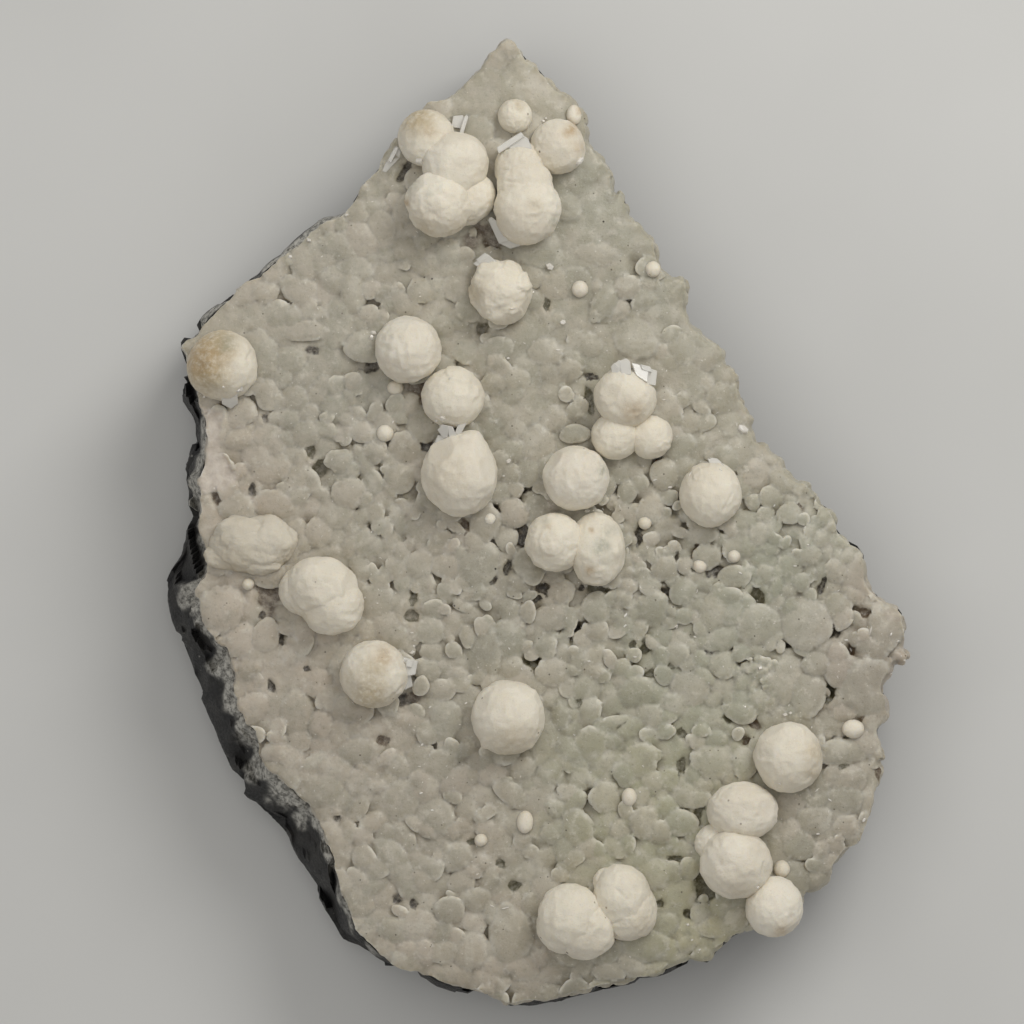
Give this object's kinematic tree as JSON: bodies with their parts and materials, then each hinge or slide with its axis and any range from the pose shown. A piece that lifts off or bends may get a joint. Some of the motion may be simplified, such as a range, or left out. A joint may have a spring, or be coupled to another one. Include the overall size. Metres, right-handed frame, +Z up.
{
  "type": "gyrolite mineral specimen",
  "caption": "Flat slab of dark basalt under a pale grey-green prehnite crust, with white gyrolite balls and small clear apophyllite crystals on its face.",
  "frame": {"origin": "on the surface that the slab rests on, under the middle of its bounding box", "axes": "+Z up, out of the crystal face; +Y along the slab towards its pointed end; +X to the right of the face"},
  "size_m": [0.1046, 0.136, 0.03],
  "materials": {
    "basalt": "matte",
    "prehnite": "satin",
    "gyrolite": "matte",
    "apophyllite": "gloss"
  },
  "bodies": {
    "root": {"apophyllite_blade_side": "apophyllite", "apophyllite_blade_top": "apophyllite", "apophyllite_block_left": "apophyllite", "apophyllite_block_right": "apophyllite", "apophyllite_group_middle": "apophyllite", "apophyllite_left_corner": "apophyllite", "apophyllite_needle": "apophyllite", "apophyllite_on_flaky_ball": "apophyllite", "apophyllite_on_right_ball": "apophyllite", "apophyllite_on_stained_ball": "apophyllite", "apophyllite_slab_rim": "apophyllite", "basalt_matrix": "basalt", "gyrolite_ball_centre": "gyrolite", "gyrolite_ball_flaky": "gyrolite", "gyrolite_ball_large_middle": "gyrolite", "gyrolite_ball_left_edge": "gyrolite", "gyrolite_ball_lower_middle": "gyrolite", "gyrolite_ball_lower_right": "gyrolite", "gyrolite_ball_lumpy": "gyrolite", "gyrolite_ball_middle": "gyrolite", "gyrolite_ball_right": "gyrolite", "gyrolite_ball_stained": "gyrolite", "gyrolite_ball_top_small": "gyrolite", "gyrolite_ball_upper_middle": "gyrolite", "gyrolite_bead_01": "gyrolite", "gyrolite_bead_02": "gyrolite", "gyrolite_bead_03": "gyrolite", "gyrolite_bead_04": "gyrolite", "gyrolite_bead_05": "gyrolite", "gyrolite_bead_06": "gyrolite", "gyrolite_bead_07": "gyrolite", "gyrolite_bead_08": "gyrolite", "gyrolite_bead_09": "gyrolite", "gyrolite_bead_10": "gyrolite", "gyrolite_bead_11": "gyrolite", "gyrolite_bead_12": "gyrolite", "gyrolite_bead_13": "gyrolite", "gyrolite_bead_14": "gyrolite", "gyrolite_bead_15": "gyrolite", "gyrolite_cluster_lower_right": "gyrolite", "gyrolite_cluster_of_three": "gyrolite", "gyrolite_cluster_upper_left": "gyrolite", "gyrolite_cluster_upper_right": "gyrolite", "gyrolite_mound_left": "gyrolite", "gyrolite_pair_bottom": "gyrolite", "gyrolite_pair_centre": "gyrolite", "prehnite_crust": "prehnite"}
  },
  "joints": []
}
